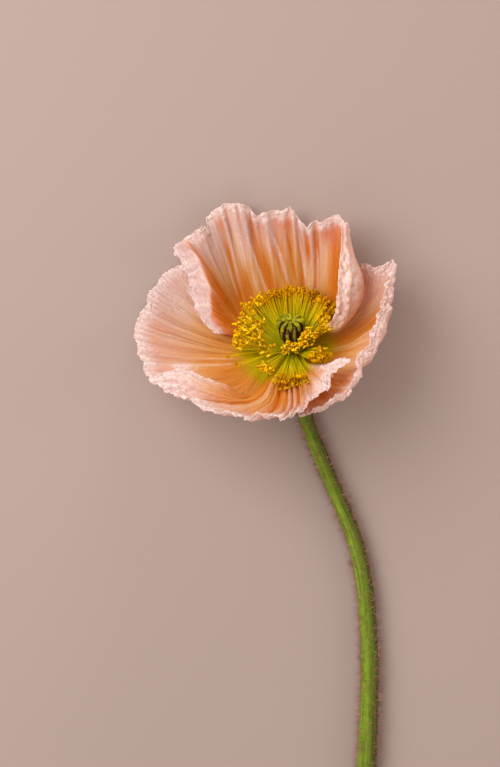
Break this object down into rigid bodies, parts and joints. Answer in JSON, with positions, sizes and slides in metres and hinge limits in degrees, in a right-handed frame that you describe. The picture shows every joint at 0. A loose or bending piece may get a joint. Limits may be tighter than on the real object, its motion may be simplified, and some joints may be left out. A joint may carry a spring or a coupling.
{
  "type": "poppy flower",
  "caption": "Cut Iceland poppy lying down: an open, crumpled apricot-pink bloom with a ring of yellow stamens round a ribbed green seed pod, on a bowed hairy stem",
  "frame": {"origin": "the middle of the object's footprint, on the flat surface it lies on", "axes": "+Z up from the surface; +Y toward the bloom's head, with the stem running away to -Y; +X to the right of the bloom when it is looked down on with +Y up"},
  "size_m": [0.0848, 0.2326, 0.0555],
  "materials": {
    "petal": "thin crepe-like petal, matte with a faint silky sheen",
    "stamen": "powdery pollen on smooth filaments",
    "pistil": "matte, ribbed",
    "stem": "satin, with fine hairs"
  },
  "bodies": {
    "root": {"petal_back": "petal", "petal_left": "petal", "petal_front": "petal", "petal_right": "petal", "stem": "stem", "pistil": "pistil", "stamen_01": "stamen", "stamen_02": "stamen", "stamen_03": "stamen", "stamen_04": "stamen", "stamen_05": "stamen", "stamen_06": "stamen", "stamen_07": "stamen", "stamen_08": "stamen", "stamen_09": "stamen", "stamen_10": "stamen", "stamen_11": "stamen", "stamen_12": "stamen", "stamen_13": "stamen", "stamen_14": "stamen", "stamen_15": "stamen", "stamen_16": "stamen", "stamen_17": "stamen", "stamen_18": "stamen", "stamen_19": "stamen", "stamen_20": "stamen", "stamen_21": "stamen", "stamen_22": "stamen", "stamen_23": "stamen", "stamen_24": "stamen", "stamen_25": "stamen", "stamen_26": "stamen", "stamen_27": "stamen", "stamen_28": "stamen", "stamen_29": "stamen", "stamen_30": "stamen", "stamen_31": "stamen", "stamen_32": "stamen", "stamen_33": "stamen", "stamen_34": "stamen", "stamen_35": "stamen", "stamen_36": "stamen", "stamen_37": "stamen", "stamen_38": "stamen"}
  },
  "joints": []
}
